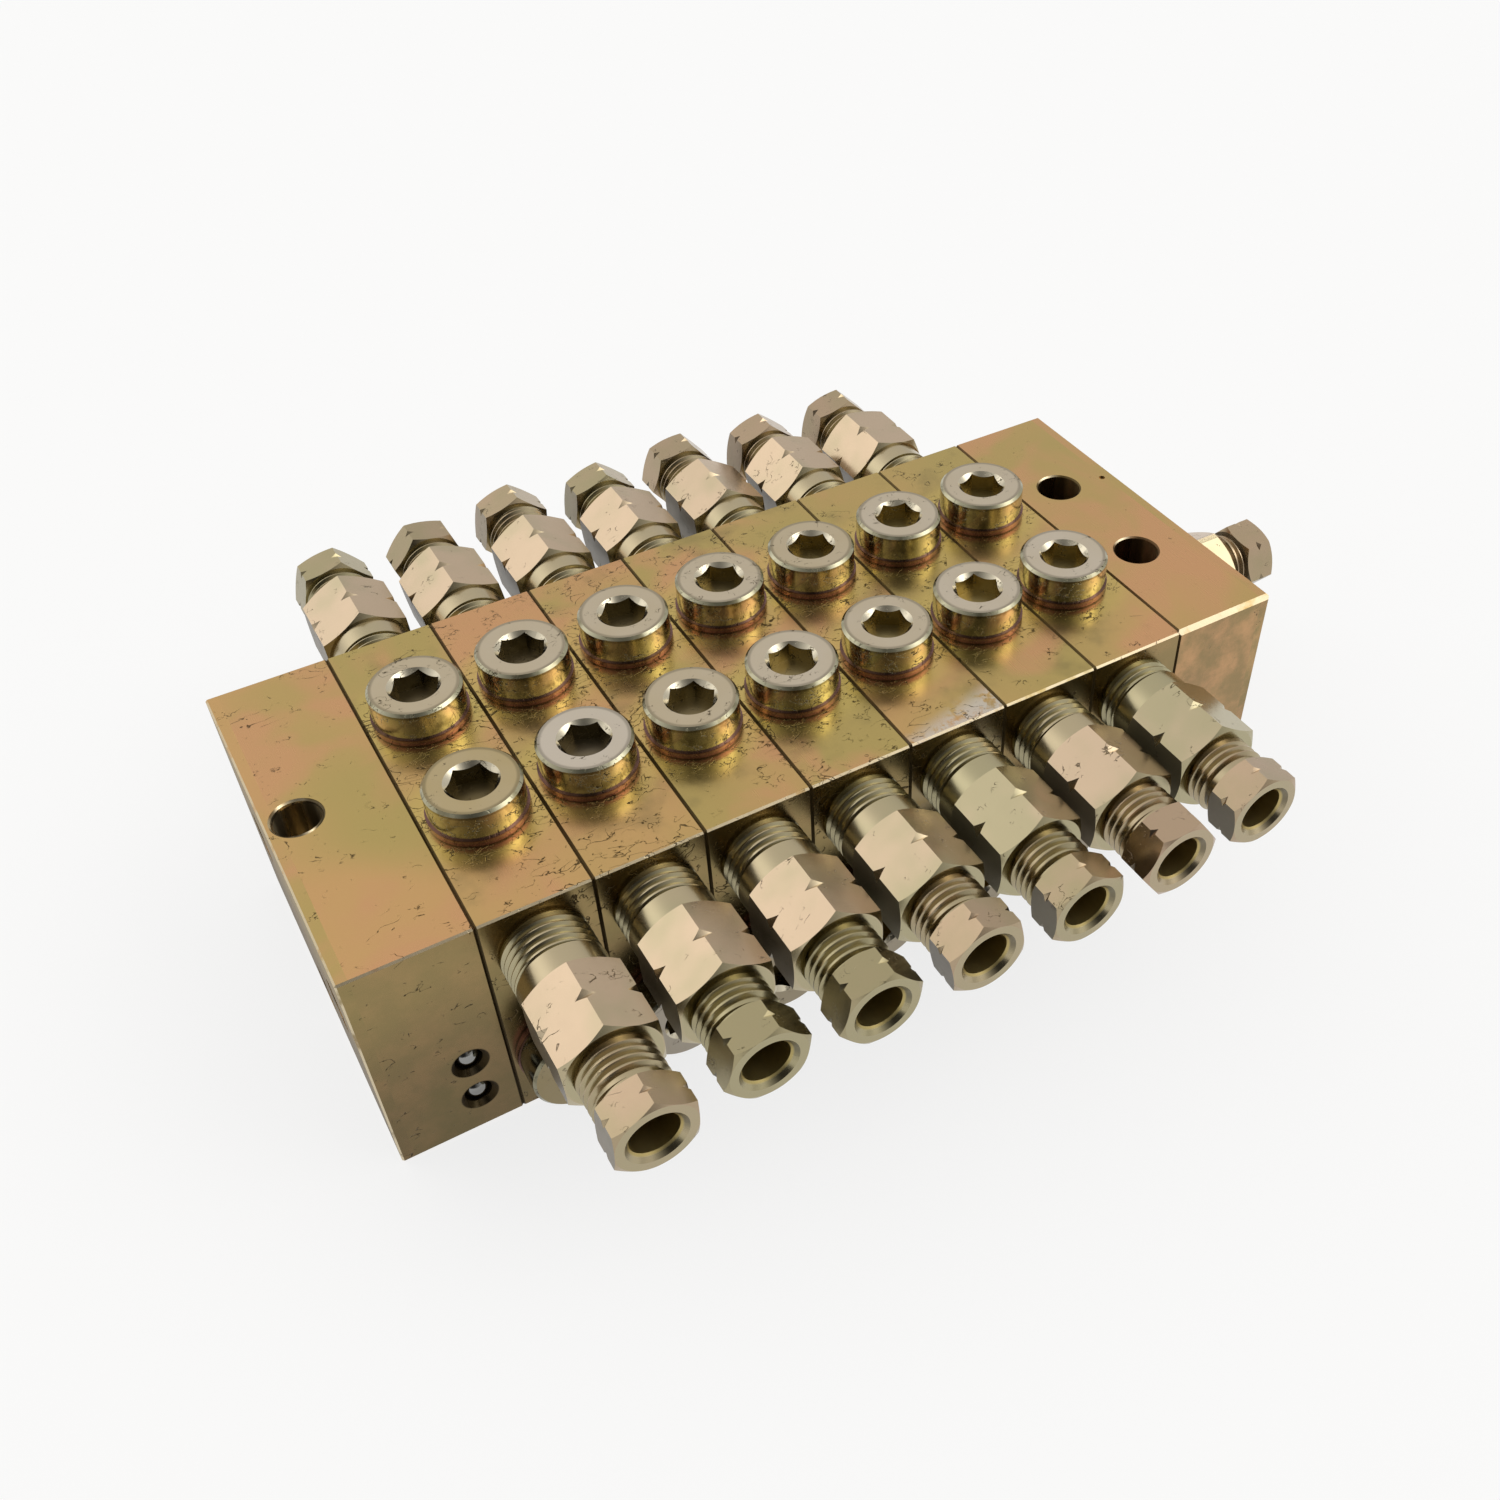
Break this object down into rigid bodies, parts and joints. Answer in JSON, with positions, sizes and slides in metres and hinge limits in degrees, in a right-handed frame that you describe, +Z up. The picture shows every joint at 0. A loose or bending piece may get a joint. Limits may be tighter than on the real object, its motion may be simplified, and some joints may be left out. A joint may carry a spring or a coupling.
{
  "type": "lubricant divider block",
  "caption": "Sectional progressive lubricant divider: a clamped row of steel sections with a sliding piston in each, screw plugs on top and tube unions on both long faces.",
  "frame": {"origin": "centre of the block stack's bottom face", "axes": "+X along the stack from the end block to the inlet block, +Y from the front outlets to the rear outlets, +Z up"},
  "size_m": [0.2246, 0.1643, 0.0566],
  "materials": {
    "block_steel": "yellow chromated zinc plate, satin",
    "union_steel": "yellow chromated zinc plate, satin",
    "nut_steel": "yellow chromated zinc plate, satin",
    "plug_steel": "yellow chromated zinc plate, polished",
    "copper": "soft copper",
    "piston_steel": "ground and lapped",
    "rod_steel": "zinc plated",
    "ball_steel": "polished",
    "seal_rubber": "matt"
  },
  "bodies": {
    "divider_block": {"end_block": "block_steel", "section_1": "block_steel", "section_2": "block_steel", "section_3": "block_steel", "section_4": "block_steel", "section_5": "block_steel", "section_6": "block_steel", "section_7": "block_steel", "inlet_block": "block_steel", "outlet_union_front_1": "union_steel", "outlet_nut_front_1": "nut_steel", "outlet_union_front_2": "union_steel", "outlet_nut_front_2": "nut_steel", "outlet_union_front_3": "union_steel", "outlet_nut_front_3": "nut_steel", "outlet_union_front_4": "union_steel", "outlet_nut_front_4": "nut_steel", "outlet_union_front_5": "union_steel", "outlet_nut_front_5": "nut_steel", "outlet_union_front_6": "union_steel", "outlet_nut_front_6": "nut_steel", "outlet_union_front_7": "union_steel", "outlet_nut_front_7": "nut_steel", "outlet_union_rear_1": "union_steel", "outlet_nut_rear_1": "nut_steel", "outlet_union_rear_2": "union_steel", "outlet_nut_rear_2": "nut_steel", "outlet_union_rear_3": "union_steel", "outlet_nut_rear_3": "nut_steel", "outlet_union_rear_4": "union_steel", "outlet_nut_rear_4": "nut_steel", "outlet_union_rear_5": "union_steel", "outlet_nut_rear_5": "nut_steel", "outlet_union_rear_6": "union_steel", "outlet_nut_rear_6": "nut_steel", "outlet_union_rear_7": "union_steel", "outlet_nut_rear_7": "nut_steel", "inlet_union": "union_steel", "inlet_nut": "nut_steel", "top_plugs": "plug_steel", "top_plug_washers": "copper", "bore_plugs": "plug_steel", "bore_plug_washers": "copper", "cutting_rings": "plug_steel", "passage_seals": "seal_rubber", "tie_rods": "rod_steel", "tie_rod_nuts": "rod_steel", "sealing_balls": "ball_steel"},
    "spool_1": {"piston_1": "piston_steel"},
    "spool_2": {"piston_2": "piston_steel"},
    "spool_3": {"piston_3": "piston_steel"},
    "spool_4": {"piston_4": "piston_steel"},
    "spool_5": {"piston_5": "piston_steel"},
    "spool_6": {"piston_6": "piston_steel"},
    "spool_7": {"piston_7": "piston_steel"}
  },
  "joints": [
    {"name": "spool_1_slide", "type": "slide", "parent": "divider_block", "child": "spool_1", "axis": [0, 1, 0], "range_m": [-0.006, 0.006]},
    {"name": "spool_2_slide", "type": "slide", "parent": "divider_block", "child": "spool_2", "axis": [0, 1, 0], "range_m": [-0.006, 0.006]},
    {"name": "spool_3_slide", "type": "slide", "parent": "divider_block", "child": "spool_3", "axis": [0, 1, 0], "range_m": [-0.006, 0.006]},
    {"name": "spool_4_slide", "type": "slide", "parent": "divider_block", "child": "spool_4", "axis": [0, 1, 0], "range_m": [-0.006, 0.006]},
    {"name": "spool_5_slide", "type": "slide", "parent": "divider_block", "child": "spool_5", "axis": [0, 1, 0], "range_m": [-0.006, 0.006]},
    {"name": "spool_6_slide", "type": "slide", "parent": "divider_block", "child": "spool_6", "axis": [0, 1, 0], "range_m": [-0.006, 0.006]},
    {"name": "spool_7_slide", "type": "slide", "parent": "divider_block", "child": "spool_7", "axis": [0, 1, 0], "range_m": [-0.006, 0.006]}
  ]
}
